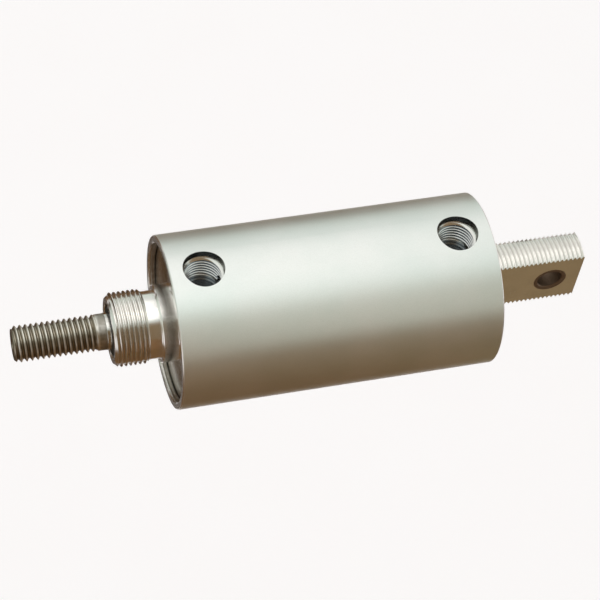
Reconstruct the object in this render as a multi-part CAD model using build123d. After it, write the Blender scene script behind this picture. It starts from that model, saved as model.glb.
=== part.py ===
from build123d import *
import os
from math import sqrt

# Round body pneumatic cylinder, double acting, rod retracted. Millimetres.
# The origin is the centre of the pivot bore, on the cylinder's axis. +X is the way the rod
# extends, the pivot pin lies along Y, and +Z points out of the two ports.

# Tube
bore_diameter = 50.0
tube_wall = 3.0
stroke = 30.0
head_seat_step = 0.6
tube_edge_chamfer = 0.35
tube_mouth_chamfer = 0.3
pivot_to_tube = 24.0

# Heads
head_length = 22.5
face_recess = 2.3
head_edge_chamfer = 0.6
head_ring_land = 2.4
head_ring_groove_width = 3.2
head_ring_cord = 2.2

# Round wire rings that hold the heads in the tube
wire_diameter = 1.5
wire_gap_angle = 26.0
wire_gap_place = -32.0

# Ports
port_inset = 11.0
port_clear_diameter = 13.2
port_thread_core_diameter = 11.445
port_mouth_chamfer = 0.6
passage_diameter = 5.0
passage_wall = 1.0

# Nose, measured from the end of the tube
nose_projection = 17.8
nose_thread_diameter = 24.0
nose_thread_length = 11.2
nose_thread_pitch = 1.5
nose_chamfer = 1.4
thread_relief_depth = 1.0
collar_projection = 2.7
collar_diameter = 25.0
collar_chamfer = 0.3

# Tang, measured from the pivot
tang_diameter = 20.0
tang_width_over_flats = 10.0
tang_end = 10.0
tang_chamfer = 1.2
tang_root = 1.0
tang_thread_pitch = 1.5
tang_thread_run_out = 2.3
pivot_pin_bore = 8.0
pivot_bushing_wall = 1.5
pivot_bushing_chamfer = 0.4

# Rod
rod_diameter = 12.0
rod_projection = 30.65
rod_thread_length = 26.6
rod_thread_pitch = 1.75
rod_thread_undersize = 0.16
rod_neck_length = 2.8
rod_end_chamfer = 0.8
rod_shoulder = 1.0
rod_counterbore = 3.0
rod_ring_cord = 1.6
rod_ring_groove_width = 2.2

# Thread form, as shares of the pitch
thread_depth_share = 0.613
thread_crest_share = 0.125

# Rod guide and seals in the front head
wiper_length = 3.5
wiper_height = 2.5
wiper_land = 1.5
wiper_land_clearance = 0.5
wiper_lip_share = 0.2
wiper_taper_share = 0.35
bushing_length = 20.0
bushing_wall = 2.0
rod_seal_length = 5.6
rod_seal_height = 4.0
retainer_thickness = 1.5
retainer_overlap = 1.2
retainer_rod_clearance = 0.4

# Lip seals, as shares of their height and length
lip_edge_share = 0.22
lip_relief_share = 0.05
lip_heel_share = 0.45

# Piston and its seals
cup_groove_width = 4.6
cup_groove_depth = 5.5
band_groove_width = 5.2
band_groove_depth = 2.2
end_land = 1.55
middle_land = 1.9
piston_clearance = 0.25
piston_edge_chamfer = 0.5
nut_across_flats = 16.0
nut_thickness = 5.0
nut_chamfer = 0.8
nut_pocket_depth = 6.0
nut_pocket_clearance = 0.8
rod_tail = 0.6

# Soft stop rings in the heads
bumper_thickness = 3.0
bumper_proud = 1.5
bumper_width = 3.4
chamber_depth = 5.0

# Clearances
head_fit = 0.05
seat_gap = 0.02
running_clearance = 0.03
seal_clearance = 0.04
end_gap = 0.05
press = 0.01

# Radii that several pieces share
bore_radius = bore_diameter / 2
tube_radius = bore_radius + tube_wall
seat_radius = bore_radius + head_seat_step
head_radius = seat_radius - head_fit
rod_radius = rod_diameter / 2
wire_radius = wire_diameter / 2
wiper_radius = rod_radius + wiper_height
bushing_radius = rod_radius + bushing_wall
rod_seal_radius = rod_radius + rod_seal_height
chamber_radius = rod_seal_radius + retainer_overlap
bumper_radius = chamber_radius + bumper_width
passage_radius = passage_diameter / 2
passage_height = bumper_radius + passage_wall + passage_radius
port_floor = passage_height - passage_radius - passage_wall
port_core_radius = port_thread_core_diameter / 2
port_clear_radius = port_clear_diameter / 2
port_seat = sqrt(head_radius**2 - port_clear_radius**2) - seat_gap
nut_corner_radius = nut_across_flats / sqrt(3)
pivot_bushing_radius = pivot_pin_bore / 2 + pivot_bushing_wall

# Places along the axis
piston_length = 2 * (end_land + cup_groove_width + middle_land) + band_groove_width
stop_gap = bumper_proud + end_gap
tube_length = 2 * (face_recess + head_length + stop_gap) + stroke + piston_length
tube_rear = pivot_to_tube
tube_front = tube_rear + tube_length
rear_face = tube_rear + face_recess
front_face = tube_front - face_recess
rear_inner = rear_face + head_length
front_inner = front_face - head_length
nose_face = tube_front + nose_projection
nose_thread_end = nose_face - nose_thread_length
collar_face = tube_front + collar_projection
piston_rear = rear_inner + stop_gap
piston_front = piston_rear + piston_length
rod_tip = nose_face + rod_projection
wiper_seat = nose_face - wiper_length
bushing_front = wiper_seat - wiper_land
bushing_rear = bushing_front - bushing_length
rod_seal_rear = bushing_rear - rod_seal_length
rod_step = piston_front - rod_counterbore
nut_seat = piston_rear + nut_pocket_depth
rod_rear = piston_rear + rod_tail
rod_ring_place = (rod_step + nut_seat) / 2


def turned(*corners):
    """A solid turned about the cylinder's axis, from (place along it, radius) corners."""
    outline = Polyline(*[(along, 0, radius) for along, radius in corners], close=True)
    return revolve(make_face(outline), Axis.X)


def cord_ring(along, radius, cord_radius, arc=360):
    """A ring of round cord or wire about the axis."""
    section = Plane.XZ * Pos(along, radius) * Circle(cord_radius)
    return revolve(section, Axis.X, revolution_arc=arc)


def thread_cutter(free_end, run_out, radius, pitch):
    """Cuts a 60 degree thread as rings: a groove at the free end and one each pitch to the run-out."""
    way = 1 if run_out > free_end else -1
    crest = thread_crest_share * pitch
    depth = thread_depth_share * pitch
    root_half = (pitch - crest) / 2 - depth / sqrt(3)
    above = crest / 2
    mouth_half = (pitch - crest) / 2 + above / sqrt(3)
    corners = []
    for turn in range(int(abs(run_out - free_end) / pitch) + 1):
        middle = free_end + way * turn * pitch
        corners += [
            (middle - way * mouth_half, radius + above),
            (middle - way * root_half, radius - depth),
            (middle + way * root_half, radius - depth),
            (middle + way * mouth_half, radius + above),
        ]
    corners += [(corners[-1][0], radius + pitch), (corners[0][0], radius + pitch)]
    return turned(*corners)


def lip_seal(heel, length, inner, outer, way):
    """A two-lipped seal ring: the heel is at one end and the lips open the given way."""
    middle = (inner + outer) / 2
    height = outer - inner
    lip = lip_edge_share * height
    relief = lip_relief_share * height
    heel_end = heel + way * lip_heel_share * length
    return turned(
        (heel, inner + relief),
        (heel, outer - relief),
        (heel_end, outer - relief),
        (heel + way * length, outer),
        (heel + way * length, outer - lip),
        (heel_end, middle),
        (heel + way * length, inner + lip),
        (heel + way * length, inner),
        (heel_end, inner + relief),
    )


def port_at(along):
    """The threaded port in a head: a seat cut flat, a chamfered mouth and the core bore."""
    mouth = port_core_radius + port_mouth_chamfer
    seat = Pos(along, 0, port_seat) * Cylinder(port_clear_radius, tube_wall + seat_radius, align=(
        Align.CENTER, Align.CENTER, Align.MIN))
    chamfer_cone = Pos(along, 0, port_seat - port_mouth_chamfer) * Cone(
        port_core_radius, mouth, port_mouth_chamfer, align=(Align.CENTER, Align.CENTER, Align.MIN))
    core = Pos(along, 0, port_floor) * Cylinder(port_core_radius, port_seat - port_floor, align=(
        Align.CENTER, Align.CENTER, Align.MIN))
    return seat + chamfer_cone + core


def passage(inner_face, port_place):
    """The drilled air way from a head's inner face to the foot of its port."""
    length = abs(inner_face - port_place)
    drill = Cylinder(passage_radius, length, rotation=(0, 90, 0))
    return Pos((inner_face + port_place) / 2, 0, passage_height) * drill


def head_blank(inner_face, outer_face):
    """The part of a head that seats in the tube, with its groove for the sealing ring."""
    way = 1 if outer_face > inner_face else -1
    groove_start = inner_face + way * head_ring_land
    groove_end = groove_start + way * head_ring_groove_width
    groove_floor = seat_radius - head_ring_cord
    edge = head_radius - head_edge_chamfer
    return turned(
        (inner_face, 0),
        (inner_face, edge),
        (inner_face + way * head_edge_chamfer, head_radius),
        (groove_start, head_radius),
        (groove_start, groove_floor),
        (groove_end, groove_floor),
        (groove_end, head_radius),
        (outer_face - way * head_edge_chamfer, head_radius),
        (outer_face, edge),
        (outer_face, 0),
    )


def stop_pocket(inner_face, way, depth):
    """The pocket for a stop ring, with the chamber bored behind it."""
    floor = inner_face + way * (bumper_thickness - bumper_proud)
    bottom = inner_face + way * depth
    return turned(
        (inner_face, 0),
        (inner_face, bumper_radius),
        (floor, bumper_radius),
        (floor, chamber_radius),
        (bottom, chamber_radius),
        (bottom, 0),
    )


def make_tube():
    """Plain tube, bored larger at both ends so that each head stops against a step."""
    edge = tube_radius - tube_edge_chamfer
    mouth = seat_radius + tube_mouth_chamfer
    groove_floor = seat_radius + wire_radius + seat_gap
    groove_width = wire_diameter + 2 * seat_gap
    body = turned(
        (tube_rear, mouth),
        (tube_rear, edge),
        (tube_rear + tube_edge_chamfer, tube_radius),
        (tube_front - tube_edge_chamfer, tube_radius),
        (tube_front, edge),
        (tube_front, mouth),
        (tube_front - tube_mouth_chamfer, seat_radius),
        (front_face - seat_gap + groove_width, seat_radius),
        (front_face - seat_gap + groove_width, groove_floor),
        (front_face - seat_gap, groove_floor),
        (front_face - seat_gap, seat_radius),
        (front_inner, seat_radius),
        (front_inner, bore_radius),
        (rear_inner, bore_radius),
        (rear_inner, seat_radius),
        (rear_face + seat_gap, seat_radius),
        (rear_face + seat_gap, groove_floor),
        (rear_face + seat_gap - groove_width, groove_floor),
        (rear_face + seat_gap - groove_width, seat_radius),
        (tube_rear + tube_mouth_chamfer, seat_radius),
    )
    for port_place in (tube_front - port_inset, tube_rear + port_inset):
        body -= Pos(port_place, 0, tube_radius) * Cylinder(port_clear_radius, tube_radius)
    return body


def make_front_head():
    """Head with the nose turned in one piece with it, bored for the rod's guide and seals."""
    nose_radius = nose_thread_diameter / 2
    relief_radius = nose_radius - thread_relief_depth
    collar_radius = collar_diameter / 2
    head = head_blank(front_inner, front_face) + turned(
        (front_face - head_edge_chamfer, 0),
        (front_face - head_edge_chamfer, collar_radius),
        (collar_face - collar_chamfer, collar_radius),
        (collar_face, collar_radius - collar_chamfer),
        (collar_face, relief_radius),
        (nose_thread_end, relief_radius),
        (nose_thread_end + thread_relief_depth, nose_radius),
        (nose_face - nose_chamfer, nose_radius),
        (nose_face, nose_radius - nose_chamfer),
        (nose_face, 0),
    )
    head -= thread_cutter(nose_face, nose_thread_end, nose_radius, nose_thread_pitch)
    head -= turned(
        (rod_seal_rear, 0),
        (rod_seal_rear, rod_seal_radius),
        (bushing_rear, rod_seal_radius),
        (bushing_rear, bushing_radius),
        (bushing_front, bushing_radius),
        (bushing_front, rod_radius + wiper_land_clearance),
        (wiper_seat, rod_radius + wiper_land_clearance),
        (wiper_seat, wiper_radius),
        (nose_face, wiper_radius),
        (nose_face, 0),
    )
    head -= stop_pocket(front_inner, 1, rod_seal_rear - front_inner)
    port_place = tube_front - port_inset
    return head - port_at(port_place) - passage(front_inner, port_place)


def make_rear_head():
    """Head with the pivot tang turned and flatted in one piece with it."""
    tang_radius = tang_diameter / 2
    head = head_blank(rear_inner, rear_face) - stop_pocket(rear_inner, -1, chamber_depth)
    port_place = tube_rear + port_inset
    head = head - port_at(port_place) - passage(rear_inner, port_place)
    tang = turned(
        (rear_face + head_edge_chamfer, 0),
        (rear_face + head_edge_chamfer, tang_radius),
        (tang_chamfer - tang_end, tang_radius),
        (-tang_end, tang_radius - tang_chamfer),
        (-tang_end, 0),
    )
    thread_end = rear_face - tang_thread_run_out
    tang -= thread_cutter(-tang_end, thread_end, tang_radius, tang_thread_pitch)
    flats_end = rear_face - tang_root
    flats_length = flats_end + tang_end
    for side in (-1, 1):
        tang -= Pos(flats_end - flats_length / 2, side * tang_width_over_flats, 0) * Box(
            flats_length, tang_width_over_flats, tang_diameter)
    tang -= Cylinder(pivot_bushing_radius, tang_width_over_flats, rotation=(90, 0, 0))
    return head + tang


def make_pivot_bushing():
    """Sintered bush pressed across the tang, flush with both flats."""
    outer = pivot_bushing_radius + press
    inner = pivot_pin_bore / 2
    half = tang_width_over_flats / 2
    chamfer_start = half - pivot_bushing_chamfer
    section = Polyline(
        (inner, -chamfer_start),
        (inner + pivot_bushing_chamfer, -half),
        (outer, -half),
        (outer, half),
        (inner + pivot_bushing_chamfer, half),
        (inner, chamfer_start),
        close=True,
    )
    return revolve(make_face(section), Axis.Y)


def make_wire_ring(along):
    """Round wire ring with its ends apart, half in the tube's groove and half in front of the head."""
    ring = cord_ring(along, seat_radius, wire_radius, 360 - wire_gap_angle)
    return Rot(X=wire_gap_place + wire_gap_angle / 2) * ring


def make_head_o_ring(inner_face, way):
    """Sealing ring, squeezed between the head's groove and the tube."""
    along = inner_face + way * (head_ring_land + head_ring_groove_width / 2)
    return cord_ring(along, seat_radius - head_ring_cord / 2, head_ring_cord / 2 - seat_gap)


def make_rod_bushing():
    """Plain bearing for the rod, pressed into the nose."""
    inner = rod_radius + running_clearance
    outer = bushing_radius + press
    return turned(
        (bushing_rear, inner),
        (bushing_rear, outer),
        (bushing_front, outer),
        (bushing_front, inner),
    )


def make_rod_wiper():
    """Wiper in the mouth of the nose, with a thin lip round the rod."""
    inner = rod_radius + seal_clearance
    root = rod_radius + wiper_land_clearance
    outer = wiper_radius - seat_gap
    back = wiper_seat + seat_gap
    front = nose_face - seat_gap
    shoulder = nose_face - wiper_taper_share * wiper_length
    return turned(
        (back, root),
        (back, outer),
        (shoulder, outer),
        (front, root + wiper_lip_share * wiper_height),
        (front, inner),
        (front - wiper_lip_share * wiper_length, inner),
        (back + wiper_taper_share * wiper_length, root),
    )


def make_rod_seal():
    """Lip seal round the rod, open towards the pressure."""
    length = rod_seal_length - 2 * seat_gap
    return lip_seal(bushing_rear - seat_gap, length, rod_radius + seal_clearance,
                    rod_seal_radius - seat_gap, -1)


def make_seal_retainer():
    """Washer pressed into the head's chamber, behind the rod seal."""
    inner = rod_radius + retainer_rod_clearance
    outer = chamber_radius + press
    rear = rod_seal_rear - retainer_thickness
    return turned((rear, inner), (rear, outer), (rod_seal_rear, outer), (rod_seal_rear, inner))


def make_bumper(inner_face, way):
    """Soft stop ring, half let into a head's inner face."""
    inner = chamber_radius + seat_gap
    outer = bumper_radius - seat_gap
    back = inner_face + way * (bumper_thickness - bumper_proud)
    front = back - way * bumper_thickness
    return turned((back, inner), (back, outer), (front, outer), (front, inner))


def make_piston_rod():
    """Ground rod, stepped down through the piston, with a groove for its static seal."""
    spigot_radius = rod_radius - rod_shoulder
    groove_floor = spigot_radius - rod_ring_cord
    groove_half = rod_ring_groove_width / 2
    tail_chamfer = rod_shoulder
    thread_radius = rod_radius - rod_thread_undersize
    thread_end = rod_tip - rod_thread_length
    neck_start = thread_end - rod_neck_length
    blank = turned(
        (rod_rear, 0),
        (rod_rear, spigot_radius - tail_chamfer),
        (rod_rear + tail_chamfer, spigot_radius),
        (rod_ring_place - groove_half, spigot_radius),
        (rod_ring_place - groove_half, groove_floor),
        (rod_ring_place + groove_half, groove_floor),
        (rod_ring_place + groove_half, spigot_radius),
        (rod_step, spigot_radius),
        (rod_step, rod_radius),
        (neck_start, rod_radius),
        (neck_start + rod_thread_undersize, thread_radius),
        (rod_tip - rod_end_chamfer, thread_radius),
        (rod_tip, thread_radius - rod_end_chamfer),
        (rod_tip, 0),
    )
    return blank - thread_cutter(rod_tip, thread_end, rod_radius, rod_thread_pitch)


def make_piston():
    """Piston with two seal grooves, a bearing band groove between them and a pocket for the nut."""
    outer = bore_radius - piston_clearance
    cup_floor = bore_radius - cup_groove_depth
    band_floor = bore_radius - band_groove_depth
    edge = outer - piston_edge_chamfer
    spigot_bore = rod_radius - rod_shoulder + head_fit
    rod_bore = rod_radius + head_fit
    pocket = nut_corner_radius + nut_pocket_clearance
    corners = [(piston_rear, edge), (piston_rear + piston_edge_chamfer, outer)]
    start = piston_rear + end_land
    for width, floor in (
        (cup_groove_width, cup_floor),
        (band_groove_width, band_floor),
        (cup_groove_width, cup_floor),
    ):
        corners += [(start, outer), (start, floor), (start + width, floor), (start + width, outer)]
        start += width + middle_land
    corners += [(piston_front - piston_edge_chamfer, outer), (piston_front, edge)]
    corners += [(piston_front, rod_bore), (rod_step, rod_bore), (rod_step, spigot_bore)]
    corners += [(nut_seat, spigot_bore), (nut_seat, pocket), (piston_rear, pocket)]
    return turned(*corners)


def make_piston_cup(groove_start, way):
    """Lip seal of the piston; it keeps a little play in its groove so that the piston can turn."""
    length = cup_groove_width - 2 * seal_clearance
    heel = groove_start + seal_clearance if way > 0 else groove_start + cup_groove_width - seal_clearance
    inner = bore_radius - cup_groove_depth + seal_clearance
    return lip_seal(heel, length, inner, bore_radius - seal_clearance, way)


def make_wear_band(groove_start):
    """Bearing band that keeps the piston off the tube."""
    rear = groove_start + seal_clearance
    front = groove_start + band_groove_width - seal_clearance
    inner = bore_radius - band_groove_depth + seal_clearance
    outer = bore_radius - running_clearance
    return turned((rear, inner), (rear, outer), (front, outer), (front, inner))


def make_piston_nut():
    """Thin hexagon nut that clamps the piston against the rod's step."""
    half = nut_across_flats / 2
    thread_radius = rod_radius - rod_shoulder + seat_gap
    nut_rear = nut_seat - nut_thickness
    hexagon = Plane.YZ * RegularPolygon(half, 6, major_radius=False)
    prism = Pos(nut_rear, 0, 0) * extrude(hexagon, nut_thickness)
    blank = turned(
        (nut_rear, thread_radius),
        (nut_rear, nut_corner_radius - nut_chamfer),
        (nut_rear + nut_chamfer / 2, nut_corner_radius),
        (nut_seat - nut_chamfer / 2, nut_corner_radius),
        (nut_seat, nut_corner_radius - nut_chamfer),
        (nut_seat, thread_radius),
    )
    return prism & blank


rear_cup_groove = piston_rear + end_land
band_groove = rear_cup_groove + cup_groove_width + middle_land
front_cup_groove = band_groove + band_groove_width + middle_land
rod_ring_radius = rod_radius - rod_shoulder - rod_ring_cord / 2

parts = {
    "tube": make_tube(),
    "front_head": make_front_head(),
    "rear_head": make_rear_head(),
    "pivot_bushing": make_pivot_bushing(),
    "front_retaining_ring": make_wire_ring(front_face + wire_radius),
    "rear_retaining_ring": make_wire_ring(rear_face - wire_radius),
    "front_head_o_ring": make_head_o_ring(front_inner, 1),
    "rear_head_o_ring": make_head_o_ring(rear_inner, -1),
    "rod_bushing": make_rod_bushing(),
    "rod_wiper": make_rod_wiper(),
    "rod_seal": make_rod_seal(),
    "seal_retainer": make_seal_retainer(),
    "front_bumper": make_bumper(front_inner, 1),
    "rear_bumper": make_bumper(rear_inner, -1),
    "piston_rod": make_piston_rod(),
    "piston": make_piston(),
    "piston_nut": make_piston_nut(),
    "piston_rod_o_ring": cord_ring(rod_ring_place, rod_ring_radius, rod_ring_cord / 2 - seat_gap),
    "piston_cup_front": make_piston_cup(front_cup_groove, 1),
    "piston_cup_rear": make_piston_cup(rear_cup_groove, -1),
    "piston_wear_band": make_wear_band(band_groove),
}

os.makedirs("parts", exist_ok=True)
for node, shape in parts.items():
    export_step(shape, f"parts/{node}.step")
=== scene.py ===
import math

import bmesh
import bpy
from mathutils import Matrix, Vector


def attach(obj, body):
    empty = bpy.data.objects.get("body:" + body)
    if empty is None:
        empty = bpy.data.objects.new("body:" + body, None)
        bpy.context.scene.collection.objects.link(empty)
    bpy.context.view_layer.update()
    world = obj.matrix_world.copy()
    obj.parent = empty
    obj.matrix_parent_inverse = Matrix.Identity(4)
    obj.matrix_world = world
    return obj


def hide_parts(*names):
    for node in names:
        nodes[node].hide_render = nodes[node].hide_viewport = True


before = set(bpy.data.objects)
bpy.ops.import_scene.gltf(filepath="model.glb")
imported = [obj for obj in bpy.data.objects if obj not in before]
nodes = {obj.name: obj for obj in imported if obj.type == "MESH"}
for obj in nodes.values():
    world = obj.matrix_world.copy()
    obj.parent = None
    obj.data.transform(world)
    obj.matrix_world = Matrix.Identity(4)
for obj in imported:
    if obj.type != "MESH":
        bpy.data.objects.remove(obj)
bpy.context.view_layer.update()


# Camera. The cylinder is seen from above its port side with the rod to the left, through a long
# lens that flattens the perspective, and the camera is rolled a little.
mm = 0.001
scene = bpy.context.scene
scene.view_settings.view_transform = "Standard"
azimuth, elevation, roll = (math.radians(angle) for angle in (157.878, 55.454, 10.253))
aim = Vector((83.74, 0.0, 1.745)) * mm
distance = 693.36 * mm
toward_camera = Vector((
    math.sin(azimuth) * math.cos(elevation),
    -math.cos(azimuth) * math.cos(elevation),
    math.sin(elevation),
))
level = Vector((math.cos(azimuth), math.sin(azimuth), 0.0))
upright = toward_camera.cross(level)
picture_right = level * math.cos(roll) + upright * math.sin(roll)
picture_up = upright * math.cos(roll) - level * math.sin(roll)
lens = bpy.data.cameras.new("camera")
lens.sensor_width = 36.0
lens.lens = 129.79
lens.clip_start, lens.clip_end = 0.05, 20.0
camera = bpy.data.objects.new("camera", lens)
scene.collection.objects.link(camera)
turned_to = Matrix((picture_right, picture_up, toward_camera)).transposed().to_4x4()
camera.matrix_world = Matrix.Translation(aim + toward_camera * distance) @ turned_to
scene.camera = camera


# Studio. The cylinder is held by its pivot above a pale paper floor, under a soft sky that is
# brightest overhead and a little behind it. Boards on the floor and a brown wall in front give the
# metal its warm dark sides, and the satin tube and the turned pieces have a lamp each.
class Value:
    """One output of a finish's nodes; sums, products and powers of Values add Math nodes."""

    def __init__(self, finish, socket):
        self.finish, self.socket = finish, socket

    def worked_out(self, operation, *terms):
        return self.finish.node("ShaderNodeMath", {"operation": operation}, terms)

    def __add__(self, other):
        return self.worked_out("ADD", self, other)

    def __sub__(self, other):
        return self.worked_out("SUBTRACT", self, other)

    def __rsub__(self, other):
        return self.worked_out("SUBTRACT", other, self)

    def __mul__(self, other):
        return self.worked_out("MULTIPLY", self, other)

    def __pow__(self, other):
        return self.worked_out("POWER", self, other)

    __radd__ = __add__
    __rmul__ = __mul__

    def rises(self, low, high):
        """0 below low, 1 above high, and a smooth step between them."""
        settings = {"interpolation_type": "SMOOTHSTEP", "clamp": True}
        return self.finish.node("ShaderNodeMapRange", settings, {
            "Value": self, "From Min": low, "From Max": high, "To Min": 0.0, "To Max": 1.0,
        })

    def within(self, start, end):
        """1 between two soft edges and 0 outside them; each edge is given as (low, high)."""
        return self.rises(*start) * (1 - self.rises(*end))


class Finish:
    """The nodes of a material or of the room; all of them are added through one method."""

    def __init__(self, tree):
        self.tree = tree

    def node(self, kind, settings=None, values=(), output=0):
        """Adds a node, makes its settings, then gives its sockets their values or links."""
        made = self.tree.nodes.new(kind)
        for name, setting in (settings or {}).items():
            if name == "stops":
                ramp = made.color_ramp.elements
                ramp[0].position, ramp[0].color = setting[0]
                ramp[1].position, ramp[1].color = setting[-1]
                for position, colour in setting[1:-1]:
                    ramp.new(position).color = colour
            else:
                setattr(made, name, setting)
        named = values.items() if isinstance(values, dict) else enumerate(values)
        for name, value in named:
            if isinstance(value, Value):
                self.tree.links.new(value.socket, made.inputs[name])
            else:
                made.inputs[name].default_value = value
        return Value(self, made.outputs[output])

    def blend(self, share, first, second):
        """Mixes two colours; the share is how much of the second one shows."""
        settings = {"data_type": "RGBA", "blend_type": "MIX", "clamp_factor": True}
        return self.node("ShaderNodeMix", settings, {0: share, 6: first, 7: second}, 2)

    def place(self):
        """Where on the object a point is, in millimetres."""
        found = self.node("ShaderNodeTexCoord", output=3)
        return self.node("ShaderNodeVectorMath", {"operation": "SCALE"}, {0: found, "Scale": 1000.0})

    def parts_of(self, vector):
        whole = self.node("ShaderNodeSeparateXYZ", None, [vector])
        return [Value(self, out) for out in whole.socket.node.outputs]

    def join(self, x, y, z):
        return self.node("ShaderNodeCombineXYZ", None, [x, y, z])

    def noise(self, where, scale, detail, rough=0.5):
        return self.node("ShaderNodeTexNoise", {"noise_dimensions": "3D"}, {
            "Vector": where, "Scale": scale, "Detail": detail, "Roughness": rough,
        })

    def bump(self, height, strength, depth):
        return self.node("ShaderNodeBump", None, {
            "Strength": strength, "Distance": depth, "Height": height,
        })


def new_finish(name, steady):
    """A new material's Finish; the steady values are set directly on the shader's sockets."""
    made = bpy.data.materials.new(name)
    made.use_nodes = True
    finish = Finish(made.node_tree)
    finish.material = made
    finish.surface = made.node_tree.nodes["Principled BSDF"]
    for socket, value in steady.items():
        finish.surface.inputs[socket].default_value = value
    return finish


def drive(finish, **changing):
    """Links what changes over the surface to the shader; names are sockets with _ for a space."""
    for name, value in changing.items():
        finish.tree.links.new(value.socket, finish.surface.inputs[name.replace("_", " ")])
    return finish.material


def laid_out(name, shape, material):
    """Makes a drawn shape part of the studio."""
    mesh = bpy.data.meshes.new(name)
    shape.to_mesh(mesh)
    shape.free()
    mesh.materials.append(material)
    made = bpy.data.objects.new(name, mesh)
    scene.collection.objects.link(made)
    return made


def paper(name, dark, light, glow=0.0):
    """Matt paper or board with a faint cloud in its colour."""
    sheet = new_finish(name, {
        "Roughness": 0.9, "Specular IOR Level": 0.1,
        "Emission Color": (1.0, 1.0, 1.0, 1.0), "Emission Strength": glow,
    })
    cloud = sheet.noise(sheet.place(), scale=0.02, detail=3.0)
    return drive(sheet, Base_Color=sheet.blend(cloud, dark, light))


floor_height, floor_radius = -0.45, 12.0
floor_paper = paper(
    "floor_paper", (0.955, 0.910, 0.955, 1.0), (0.965, 0.93, 0.98, 1.0), glow=0.245)
floor_shape = bmesh.new()
bmesh.ops.create_circle(floor_shape, cap_ends=True, radius=floor_radius, segments=96)
bmesh.ops.translate(floor_shape, verts=floor_shape.verts, vec=(0, 0, floor_height))
laid_out("floor", floor_shape, floor_paper)

brown_board = paper("brown_board", (0.20, 0.105, 0.048, 1.0), (0.23, 0.125, 0.056, 1.0))
dark_board = paper("dark_board", (0.070, 0.038, 0.018, 1.0), (0.085, 0.046, 0.022, 1.0))
tan_board = paper("tan_board", (0.30, 0.21, 0.12, 1.0), (0.33, 0.23, 0.13, 1.0))
clear_of_floor = 0.001


def reflected_only(board):
    """Keeps a board out of the picture, so that only the metal's reflections show it."""
    board.visible_camera = False
    board.visible_shadow = False
    board.visible_diffuse = False


# A board's near side starts at a corner; the board runs along the floor and then stands up.
for name, board, corner, side, run, rise in (
    ("front_board", brown_board, (-0.088, -0.05), (1.0, 0, 0), (0, 0.75, 0), 0.53),
    ("tang_board", tan_board, (-0.30, -0.05), (0.212, 0, 0), (0, 0.75, 0), 0.53),
    ("rear_board", dark_board, (-0.9, -0.05), (0.6, 0, 0), (0, 0.75, 0), 0.53),
    ("end_board", dark_board, (0.18, -0.06), (0, -0.8, 0), (0.6, 0, 0), 0.5),
    ("back_board", brown_board, (-0.9, -0.58), (1.8, 0, 0), (0, -0.7, 0), 0.45),
):
    shape = bmesh.new()
    start = Vector((*corner, floor_height + clear_of_floor))
    line = [shape.edges.new([shape.verts.new(start), shape.verts.new(start + Vector(side))])]
    for step in (run, (0, 0, rise)):
        grown = bmesh.ops.extrude_edge_only(shape, edges=line)["geom"]
        fresh = [g for g in grown if isinstance(g, bmesh.types.BMVert)]
        bmesh.ops.translate(shape, vec=step, verts=fresh)
        line = [g for g in grown if isinstance(g, bmesh.types.BMEdge) and set(g.verts) == set(fresh)]
    reflected_only(laid_out(name, shape, board))

lamps_face = Vector((0.08, 0, 0))


def softbox(name, place, width, height, energy, colour):
    """A large soft lamp that faces the middle of the cylinder."""
    lamp = bpy.data.lights.new(name, "AREA")
    lamp.shape = "RECTANGLE"
    lamp.size, lamp.size_y = width, height
    lamp.energy, lamp.color = energy, colour
    hung = bpy.data.objects.new(name, lamp)
    scene.collection.objects.link(hung)
    hung.location = place
    hung.rotation_euler = (Vector(place) - lamps_face).to_track_quat("Z", "X").to_euler()
    return hung


softbox(
    "top_light", (0.08, -0.34, 0.73),
    width=0.9, height=0.6, energy=0.5, colour=(1.0, 1.0, 1.0))
tube_fill = softbox(
    "tube_fill", (-0.14, 0.695, 0.719),
    width=2.4, height=0.34, energy=2.2, colour=(0.88, 1.0, 0.96))
turned_light = softbox(
    "turned_light", (-0.07, -0.024, 0.70),
    width=0.6, height=0.46, energy=0.46, colour=(1.0, 0.99, 0.98))
satin_work = bpy.data.collections.new("satin_work")
turned_work = bpy.data.collections.new("turned_work")
for lamp, lit in ((tube_fill, satin_work), (turned_light, turned_work)):
    lamp.visible_camera = False
    lamp.light_linking.receiver_collection = lit

room = bpy.data.worlds.new("room")
scene.world = room
room.use_nodes = True
room_light = Finish(room.node_tree)
sky_tilt = math.radians(25.0)
sky_colours = [
    (0.00, (0.14, 0.085, 0.045, 1.0)),
    (0.32, (0.16, 0.10, 0.055, 1.0)),
    (0.41, (0.31, 0.24, 0.16, 1.0)),
    (0.48, (0.57, 0.55, 0.47, 1.0)),
    (0.57, (0.76, 0.83, 0.77, 1.0)),
    (0.74, (0.76, 0.84, 0.77, 1.0)),
    (0.86, (0.82, 0.86, 0.83, 1.0)),
    (0.95, (0.97, 0.97, 0.94, 1.0)),
    (1.00, (1.04, 1.03, 1.00, 1.0)),
]
wall_edge, wall_brown = (0.34, 0.54), (0.22, 0.155, 0.09, 1.0)
direction = room_light.parts_of(room_light.node("ShaderNodeTexCoord"))
toward_sky = direction[2] * math.cos(sky_tilt) - direction[1] * math.sin(sky_tilt)
sky = room_light.node("ShaderNodeValToRGB", {"stops": sky_colours}, [toward_sky * 0.5 + 0.5])
room_colour = room_light.blend(direction[1].rises(*wall_edge), sky, wall_brown)
backdrop = room.node_tree.nodes["Background"]
room.node_tree.links.new(room_colour.socket, backdrop.inputs["Color"])


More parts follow.
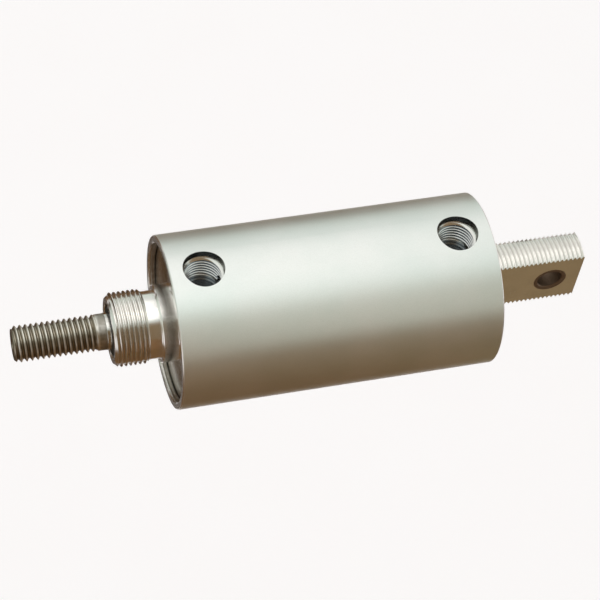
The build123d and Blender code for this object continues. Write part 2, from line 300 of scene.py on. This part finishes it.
# Front head. One turned piece of aluminium bar: the part that seats in the tube, the collar with
# its fine scribed line, the thread relief and the chamfered M24x1.5 nose. A lathe piece starts here
# as a ring of edges that is carried on from corner to corner like a tool's path.
def ring_at(shape, along):
    """The open edges of a shape that lie at one place along the axis."""
    slack = 0.002
    return [
        edge for edge in shape.edges
        if edge.is_boundary and all(abs(v.co.x - along) < slack for v in edge.verts)
    ]


def turn_on(shape, ring, corners):
    """Carries an open ring on through (place along the axis, radius) corners."""
    for along, radius in corners:
        there = ring[0].verts[0].co
        grow = radius / math.hypot(there.y, there.z)
        step = along - there.x
        grown = bmesh.ops.extrude_edge_only(shape, edges=ring)["geom"]
        fresh = [g for g in grown if isinstance(g, bmesh.types.BMVert)]
        ring = [g for g in grown if isinstance(g, bmesh.types.BMEdge) and g.is_boundary]
        bmesh.ops.scale(shape, vec=(1, grow, grow), verts=fresh)
        bmesh.ops.translate(shape, vec=(step, 0, 0), verts=fresh)
    return ring


def turned(corners, around):
    """A closed turned shape, from the (place along the axis, radius) corners of its outline."""
    shape = bmesh.new()
    along, radius = corners[0]
    bmesh.ops.create_circle(shape, cap_ends=False, radius=radius, segments=around)
    bmesh.ops.rotate(shape, verts=shape.verts, matrix=Matrix.Rotation(math.pi / 2, 3, "Y"))
    bmesh.ops.translate(shape, verts=shape.verts, vec=(along, 0, 0))
    turn_on(shape, shape.edges[:], corners[1:])
    return shape


def thread(start, end, pitch, root, crest, around, least, most):
    """An open threaded sleeve from start to end, kept between two outlines given as functions."""
    lead_in, spare_turns, weld = 1.2, 3, 0.01
    profile_of_one_pitch = (
        (0.0, 0.0), (0.083, 0.0), (0.19, 0.30), (0.31, 0.64), (0.425, 0.965), (0.45, 1.0),
        (0.55, 1.0), (0.575, 0.965), (0.69, 0.64), (0.81, 0.30), (0.917, 0.0), (1.0, 0.0),
    )
    shape = bmesh.new()
    first = start - lead_in * pitch
    line = [
        shape.verts.new((first + share * pitch, 0, root + height * (crest - root)))
        for share, height in profile_of_one_pitch
    ]
    joined = [shape.edges.new(pair) for pair in zip(line, line[1:])]
    bmesh.ops.spin(
        shape, geom=line + joined, cent=(0, 0, 0), axis=(1, 0, 0), angle=2 * math.pi,
        steps=around, dvec=(pitch / around, 0, 0), use_merge=False)
    one_turn = shape.verts[:] + shape.edges[:] + shape.faces[:]
    for turn in range(1, math.ceil((end - start) / pitch) + spare_turns):
        copied = bmesh.ops.duplicate(shape, geom=one_turn)["geom"]
        fresh = [g for g in copied if isinstance(g, bmesh.types.BMVert)]
        bmesh.ops.translate(shape, vec=(turn * pitch, 0, 0), verts=fresh)
    bmesh.ops.remove_doubles(shape, verts=shape.verts, dist=weld)
    for vertex in shape.verts:
        radius = math.hypot(vertex.co.y, vertex.co.z)
        kept = max(least(vertex.co.x), min(radius, most(vertex.co.x)))
        vertex.co.y *= kept / radius
        vertex.co.z *= kept / radius
    for place, facing in ((start, -1), (end, 1)):
        everything = shape.verts[:] + shape.edges[:] + shape.faces[:]
        bmesh.ops.bisect_plane(
            shape, geom=everything, dist=0.0001, plane_co=(place, 0, 0),
            plane_no=(facing, 0, 0), clear_outer=True)
    return shape


sharp_edge = math.radians(30.0)


def finished(name, shape, material=None):
    """Closes a shape drawn in millimetres and makes it an object, smooth between its edges."""
    bmesh.ops.remove_doubles(shape, verts=shape.verts, dist=0.0005)
    bmesh.ops.recalc_face_normals(shape, faces=shape.faces)
    bmesh.ops.scale(shape, vec=(mm, mm, mm), verts=shape.verts)
    mesh = bpy.data.meshes.new(name)
    shape.to_mesh(mesh)
    shape.free()
    mesh.shade_smooth()
    mesh.set_sharp_from_angle(angle=sharp_edge)
    piece = bpy.data.objects.new(name, mesh)
    scene.collection.objects.link(piece)
    if material:
        mesh.materials.append(material)
    return piece


def cut_away(piece, cutters):
    """Cuts the cutters' shapes out of a piece, for good."""
    for cutter in cutters:
        cut = piece.modifiers.new("cut", "BOOLEAN")
        cut.operation, cut.solver, cut.object = "DIFFERENCE", "EXACT", cutter
    bpy.context.view_layer.update()
    whole = piece.evaluated_get(bpy.context.evaluated_depsgraph_get())
    result = bpy.data.meshes.new_from_object(whole)
    piece.modifiers.clear()
    piece.data = result
    for cutter in cutters:
        bpy.data.objects.remove(cutter)
    result.shade_smooth()
    result.set_sharp_from_angle(angle=sharp_edge)


front_port, rear_port = 117.0, 35.0
air_way_radius, air_way_height = 2.5, 18.1
on_axis = 0.0001


def port_cutter(along):
    """What a port's drill, countersink and tap take out of a head, with the flat seat above."""
    floor, seat, above = 14.6, 24.66, 30.0
    core, major, pitch = 5.7225, 6.5785, 1.337
    tap_end = floor + 1.2
    mouth = major + 0.02
    shape = thread(
        tap_end, seat, pitch, core, major, 72,
        least=lambda depth: max(core, mouth - (seat - depth)),
        most=lambda depth: core + max(0.0, depth - tap_end))
    turn_on(shape, ring_at(shape, tap_end), [(floor, core), (floor, 0.0)])
    turn_on(shape, ring_at(shape, seat), [(above, mouth), (above, 0.0)])
    bmesh.ops.rotate(shape, verts=shape.verts, matrix=Matrix.Rotation(-math.pi / 2, 3, "Y"))
    bmesh.ops.translate(shape, verts=shape.verts, vec=(along, 0, 0))
    return finished("port_cutter", shape)


def air_way_drill(start, end):
    """The drill that joins a port to the room beside the piston."""
    outline = [(start, on_axis), (start, air_way_radius), (end, air_way_radius), (end, on_axis)]
    shape = turned(outline, 48)
    bmesh.ops.translate(shape, verts=shape.verts, vec=(0, 0, air_way_height))
    return finished("drill", shape)


def dulled(colour, share):
    return tuple(share * c for c in colour[:3]) + (1.0,)


def head_finish(name, colour, roughness):
    """Machined aluminium: tool rings, faint stains, and painted shade in ports and thread roots."""
    tool_grey = (0.45, 0.42, 0.38, 1.0)
    # Painted shade: the blue-grey dark laid into the ports' tapped valleys and drill bottoms.
    port_shade = (0.16, 0.19, 0.22, 1.0)
    # Painted shade: the brown laid into the roots of the tang's and the nose's threads.
    root_shade = (0.30, 0.26, 0.22, 1.0)
    tap_root, tap_crest, tap_mouth = (5.74, 6.0), (6.55, 6.6), (23.6, 23.8)
    drill_wall, drill_floor, under_floor = (5.75, 5.8), (14.7, 15.4), (14.0, 14.5)
    root_bottom, root_top = (10.8, 10.9), (11.1, 11.6)
    tang_start, tang_stop, flats_squared = (-9.9, -9.8), (24.0, 25.0), (24.0, 24.8)
    nose_start, nose_stop = (134.8, 135.0), (145.6, 145.7)

    finish = new_finish(name, {"Metallic": 1.0})
    where = finish.place()
    along, side, height = finish.parts_of(where)
    around = (side * side + height * height) ** 0.5
    tool = finish.noise(
        finish.join(along * 9.0, around * 9.0, 0.0), scale=1.0, detail=3.0, rough=0.7)
    chatter = finish.noise(where, scale=1.1, detail=2.0, rough=0.6)
    stain = finish.noise(where, scale=0.16, detail=3.0, rough=0.6)
    shade = finish.blend(stain.rises(0.35, 0.75), colour, dulled(colour, 0.90))
    shade = finish.blend(tool * 0.22, shade, tool_grey)
    # Painted shade in each port hole: its tapped valleys and the bottom of its drill are darkened.
    for port in (front_port, rear_port):
        bore = ((along - port) ** 2.0 + side * side) ** 0.5
        valley = bore.within(tap_root, tap_crest) * (1 - height.rises(*tap_mouth))
        bottom = (1 - bore.rises(*drill_wall)) * (1 - height.rises(*drill_floor))
        port_shaded = (valley + bottom) * height.rises(*under_floor)
        shade = finish.blend(port_shaded * 0.85, shade, port_shade)
    # Painted shade: the roots of the tang's and the nose's threads are darkened.
    on_tang = along.within(tang_start, tang_stop) * (1 - (side * side).rises(*flats_squared))
    on_nose = along.within(nose_start, nose_stop)
    root = around.within(root_bottom, root_top)
    shade = finish.blend(root * (on_tang + on_nose) * 0.22, shade, root_shade)
    uneven = (tool - 0.5) * 0.14 + (chatter - 0.5) * 0.08 + roughness
    relief = finish.bump(tool * 0.75 + chatter * 0.25, strength=0.35, depth=0.00003)
    return drive(finish, Base_Color=shade, Roughness=uneven, Normal=relief)


bar_aluminium = head_finish("bar_aluminium", (0.95, 0.935, 0.905, 1.0), roughness=0.20)

nose_face, relief_end, collar_face, head_face, head_back = 145.8, 134.6, 130.7, 125.7, 103.2
nose_crest, nose_root, nose_chamfer, relief_radius, collar_radius = 12.0, 11.08, 10.6, 11.0, 12.5
head_radius, head_edge, groove_radius = 25.55, 24.95, 23.4
chamber_radius, recess_radius = 11.2, 14.6
fine_pitch = 1.5
front_shape = thread(
    relief_end, nose_face, fine_pitch, nose_root, nose_crest, 96,
    least=lambda x: 0.0,
    most=lambda x: min(nose_crest, relief_radius + x - relief_end, nose_chamfer + nose_face - x))
relief_ring = ring_at(front_shape, relief_end)
nested_bores = [
    (nose_face, 8.75), (145.55, 8.5), (142.3, 8.5), (142.3, 6.5), (140.8, 6.5), (140.8, 8.0),
    (120.8, 8.0), (120.8, 10.0), (115.2, 10.0), (115.2, chamber_radius), (104.7, chamber_radius),
    (104.7, recess_radius), (head_back, recess_radius),
]
seated_part = [
    (head_back, head_edge), (103.8, head_radius), (105.6, head_radius), (105.6, groove_radius),
    (108.8, groove_radius), (108.8, head_radius), (125.1, head_radius), (head_face, head_edge),
]
scribed_collar = [
    (head_face, 12.7), (125.9, collar_radius), (127.84, collar_radius), (127.90, 12.42),
    (128.0, 12.42), (128.06, collar_radius), (130.4, collar_radius), (collar_face, 12.2),
    (collar_face, 11.25), (130.95, relief_radius),
]
last_ring = turn_on(
    front_shape, ring_at(front_shape, nose_face), nested_bores + seated_part + scribed_collar)
bmesh.ops.bridge_loops(front_shape, edges=last_ring + relief_ring)
front_head = finished("front_head_turned", front_shape, bar_aluminium)
cut_away(front_head, [port_cutter(front_port), air_way_drill(103.0, front_port)])
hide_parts("front_head")
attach(front_head, "barrel")
turned_work.objects.link(front_head)


# Rear head. The same bar aluminium, turned with a threaded tang in one piece; two flats are milled
# on the tang through its threads, and the pivot hole is bored across it.
tang_crest, tang_root, tang_edge, tang_end, half_flat = 12.0, 11.08, 11.5, -10.0, 5.0
run_out, run_out_slope, thread_stop, flats_end = 23.5, 0.75, 25.0, 25.3
rear_shape = thread(
    tang_end, thread_stop, fine_pitch, tang_root, tang_crest, 96,
    least=lambda x: min(tang_crest, max(0.0, tang_root + (x - run_out) * run_out_slope)),
    most=lambda x: min(tang_crest, tang_edge + x - tang_end))
turn_on(rear_shape, ring_at(rear_shape, tang_end), [(tang_end, 0.0)])
turn_on(rear_shape, ring_at(rear_shape, thread_stop), [
    (26.1, 12.0), (26.3, 12.2), (26.3, head_edge), (26.9, head_radius), (43.2, head_radius),
    (43.2, groove_radius), (46.4, groove_radius), (46.4, head_radius), (48.2, head_radius),
    (48.8, head_edge), (48.8, recess_radius), (47.3, recess_radius), (47.3, chamber_radius),
    (43.8, chamber_radius), (43.8, 0.0),
])
rear_head = finished("rear_head_turned", rear_shape, bar_aluminium)
cutters = [port_cutter(rear_port), air_way_drill(rear_port, 49.0)]
mill_length, mill_width, mill_height = flats_end - tang_end + 2.0, 10.0, 30.0
for side in (-1, 1):
    block = bmesh.new()
    bmesh.ops.create_cube(block, size=1.0)
    bmesh.ops.scale(block, vec=(mill_length, mill_width, mill_height), verts=block.verts)
    across = side * (half_flat + mill_width / 2)
    bmesh.ops.translate(block, vec=(flats_end - mill_length / 2, across, 0), verts=block.verts)
    cutters.append(finished("milling_cutter", block))
bush_radius, bore_reach = 5.5, 8.0
bore = turned([
    (-bore_reach, on_axis), (-bore_reach, bush_radius), (bore_reach, bush_radius),
    (bore_reach, on_axis),
], 96)
bmesh.ops.rotate(bore, verts=bore.verts, matrix=Matrix.Rotation(math.pi / 2, 3, "Z"))
cutters.append(finished("boring_bar", bore))
cut_away(rear_head, cutters)
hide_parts("rear_head")
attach(rear_head, "barrel")
turned_work.objects.link(rear_head)


def dress(name, material):
    """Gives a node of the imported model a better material."""
    mesh = nodes[name].data
    mesh.materials.clear()
    mesh.materials.append(material)


def sintered(name, colour):
    finish = new_finish(name, {"Metallic": 0.85})
    where = finish.place()
    grains = finish.noise(where, scale=5.0, detail=4.0, rough=0.7)
    pores = finish.noise(where, scale=9.0, detail=2.0, rough=0.5).rises(0.30, 0.42)
    shade = finish.blend(pores, dulled(colour, 0.45), colour)
    relief = finish.bump(pores * 0.6 + grains * 0.4, strength=0.5, depth=0.00004)
    return drive(finish, Base_Color=shade, Roughness=grains * 0.2 + 0.38, Normal=relief)


oily_bronze = sintered("oily_bronze", (0.24, 0.17, 0.12, 1.0))
dress("pivot_bushing", oily_bronze)
dress("rod_bushing", oily_bronze)


# Tube. Drawn aluminium tube, blasted to an even satin and cut square. Its two ends are bright from
# the tool, and its bore and the walls of its port holes are darkened with painted shade.
def tube_finish():
    satin_low, satin_high = (0.74, 0.77, 0.745, 1.0), (0.80, 0.81, 0.79, 1.0)
    grit_grey = (0.55, 0.54, 0.50, 1.0)
    cut_bright, cut_grey = (0.80, 0.78, 0.75, 1.0), (0.50, 0.47, 0.43, 1.0)
    # Painted shade for the bore and the walls of the port holes.
    bore_shade = (0.20, 0.20, 0.19, 1.0)
    skin, past_rear_end, before_front_end = (27.90, 27.97), (25.5, 26.0), (126.0, 126.5)

    finish = new_finish("blasted_tube", {"Metallic": 1.0})
    where = finish.place()
    along, side, height = finish.parts_of(where)
    around = (side * side + height * height) ** 0.5
    blasted = around.rises(*skin)
    cloud = finish.noise(where, scale=0.05, detail=3.0, rough=0.55)
    grit = finish.noise(where, scale=3.2, detail=3.0, rough=0.65)
    rings = finish.noise(
        finish.join(along * 8.0, around * 8.0, 0.0), scale=1.0, detail=3.0, rough=0.7)
    satin = finish.blend(cloud.rises(0.3, 0.7), satin_low, satin_high)
    satin = finish.blend(grit.rises(0.35, 0.75) * 0.16, satin, grit_grey)
    cut = finish.blend(rings * 0.25, cut_bright, cut_grey)
    # Painted shade: the bore and the port holes' walls, between the bright ends, are made dark.
    cut = finish.blend(along.within(past_rear_end, before_front_end), cut, bore_shade)
    rough_satin = (grit - 0.5) * 0.12 + (cloud - 0.5) * 0.08 + 0.43
    rough_cut = rings * 0.2 + 0.16
    roughness = blasted * rough_satin + (1 - blasted) * rough_cut
    relief = finish.bump(blasted * grit + (1 - blasted) * rings, strength=0.25, depth=0.00003)
    return drive(
        finish, Base_Color=finish.blend(blasted, cut, satin), Roughness=roughness, Normal=relief)


dress("tube", tube_finish())
satin_work.objects.link(nodes["tube"])


# Retaining rings. Round spring wire, darkened in oil and worn a little paler. Each ring is snapped
# into a groove in one mouth of the tube and holds a head in.
def blackened_wire():
    dark, worn_pale = (0.30, 0.27, 0.23, 1.0), (0.48, 0.44, 0.39, 1.0)
    finish = new_finish("blackened_wire", {"Metallic": 0.9})
    worn = finish.noise(finish.place(), scale=0.6, detail=3.0, rough=0.6)
    shade = finish.blend(worn.rises(0.5, 0.8), dark, worn_pale)
    relief = finish.bump(worn, strength=0.15, depth=0.00003)
    return drive(finish, Base_Color=shade, Roughness=worn * 0.3 + 0.22, Normal=relief)


ring_wire = blackened_wire()
dress("front_retaining_ring", ring_wire)
dress("rear_retaining_ring", ring_wire)


# Rod. Ground steel, bright where the bush polishes it, with a plain turned neck and an M12x1.75
# thread whose crests carry a painted highlight and whose valleys carry painted shade, stained
# unevenly.
def rod_finish():
    ground_bright, ground_grey = (0.66, 0.65, 0.62, 1.0), (0.42, 0.41, 0.38, 1.0)
    # Painted shade for the thread's valleys, unevenly stained, and a painted highlight for its
    # crests.
    valley_shade_dark, valley_shade_brown = (0.25, 0.22, 0.17, 1.0), (0.37, 0.33, 0.26, 1.0)
    crest_highlight = (0.72, 0.69, 0.63, 1.0)
    neck_dark, neck_grey = (0.33, 0.31, 0.27, 1.0), (0.46, 0.44, 0.40, 1.0)
    neck_edge, thread_edge, thread_flank = (147.05, 147.2), (149.2, 150.0), (5.2, 5.82)

    finish = new_finish("ground_steel", {"Metallic": 1.0})
    where = finish.place()
    along, side, height = finish.parts_of(where)
    around = (side * side + height * height) ** 0.5
    threaded = along.rises(*thread_edge)
    necked = along.rises(*neck_edge) * (1 - threaded)
    # Painted highlight and shade by radius: the crests are lightened and the valleys darkened.
    crest = around.rises(*thread_flank)
    stain = finish.noise(where, scale=0.45, detail=3.0, rough=0.6)
    grinding = finish.noise(
        finish.join(along * 14.0, around * 3.0, 0.0), scale=1.0, detail=2.0, rough=0.6)
    polished = finish.blend(grinding * 0.3, ground_bright, ground_grey)
    valley = finish.blend(stain.rises(0.3, 0.7), valley_shade_dark, valley_shade_brown)
    screw = finish.blend(crest, valley, crest_highlight)
    neck = finish.blend(stain.rises(0.4, 0.6), neck_dark, neck_grey)
    shade = finish.blend(necked, finish.blend(threaded, polished, screw), neck)
    roughness = 0.13 + threaded * (0.16 + stain * 0.12) + necked * 0.3 + grinding * 0.05
    relief = finish.bump(grinding * 0.5 + stain * 0.5, strength=0.3, depth=0.00002)
    return drive(finish, Base_Color=shade, Roughness=roughness, Normal=relief)


rod_tip, thread_end, neck_start, piston_face, stem_end = 176.45, 149.85, 147.06, 68.65, 50.95
rod_root, rod_crest, tip_radius, rod_radius, stem_radius = 4.93, 5.84, 4.9, 6.0, 5.0
coarse_pitch, tool_run_out = 1.75, 0.62
centre_radius, ring_groove_radius = 0.84, 3.4
rod_shape = thread(
    thread_end, rod_tip, coarse_pitch, rod_root, rod_crest, 72,
    least=lambda x: min(rod_crest, max(0.0, rod_crest - (x - thread_end) * tool_run_out)),
    most=lambda x: min(rod_crest, tip_radius + rod_tip - x))
turn_on(rod_shape, ring_at(rod_shape, rod_tip), [
    (rod_tip, 1.5), (rod_tip - 1.15, centre_radius), (rod_tip - 2.2, centre_radius),
    (rod_tip - 2.6, 0.0),
])
turn_on(rod_shape, ring_at(rod_shape, thread_end), [
    (neck_start + 0.16, rod_crest), (neck_start, rod_radius), (piston_face, rod_radius),
    (piston_face, stem_radius), (63.6, stem_radius), (63.6, ring_groove_radius),
    (61.4, ring_groove_radius), (61.4, stem_radius), (51.95, stem_radius), (stem_end, 4.0),
    (stem_end, 0.0),
])
rod = finished("piston_rod_threaded", rod_shape, rod_finish())
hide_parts("piston_rod")
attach(rod, "rod")
turned_work.objects.link(rod)


# Inside. Moulded rubber seals and stop rings, the plastic bearing band, the zinc-plated washer and
# nut, and the turned piston. The wiper shows at the mouth of the nose, and the rest only in a cut.
def moulded(name, colour, gloss):
    finish = new_finish(name, {"Metallic": 0.0, "Specular IOR Level": 0.4})
    where = finish.place()
    bloom = finish.noise(where, scale=0.35, detail=3.0, rough=0.6)
    skin = finish.noise(where, scale=6.0, detail=2.0, rough=0.5)
    pale = tuple(min(1.0, 1.5 * c + 0.02) for c in colour[:3]) + (1.0,)
    shade = finish.blend(bloom.rises(0.45, 0.8) * 0.6, colour, pale)
    relief = finish.bump(skin, strength=0.2, depth=0.00002)
    return drive(finish, Base_Color=shade, Roughness=bloom * 0.2 + gloss, Normal=relief)


def plated(name, colour):
    finish = new_finish(name, {"Metallic": 1.0})
    crystal = finish.noise(finish.place(), scale=1.8, detail=4.0, rough=0.6)
    shade = finish.blend(crystal.rises(0.3, 0.7), colour, dulled(colour, 0.85))
    relief = finish.bump(crystal, strength=0.2, depth=0.00002)
    return drive(finish, Base_Color=shade, Roughness=crystal * 0.2 + 0.25, Normal=relief)


black_rubber = moulded("black_rubber", (0.022, 0.021, 0.020, 1.0), gloss=0.42)
amber_rubber = moulded("amber_rubber", (0.42, 0.26, 0.09, 1.0), gloss=0.5)
brown_plastic = moulded("brown_plastic", (0.22, 0.12, 0.06, 1.0), gloss=0.45)
zinc_plate = plated("zinc_plate", (0.62, 0.62, 0.60, 1.0))
for material, inner_nodes in (
    (black_rubber, (
        "front_head_o_ring", "rear_head_o_ring", "rod_wiper", "rod_seal", "piston_rod_o_ring",
        "piston_cup_front", "piston_cup_rear")),
    (amber_rubber, ("front_bumper", "rear_bumper")),
    (brown_plastic, ("piston_wear_band",)),
    (zinc_plate, ("seal_retainer", "piston_nut")),
    (bar_aluminium, ("piston",)),
):
    for name in inner_nodes:
        dress(name, material)
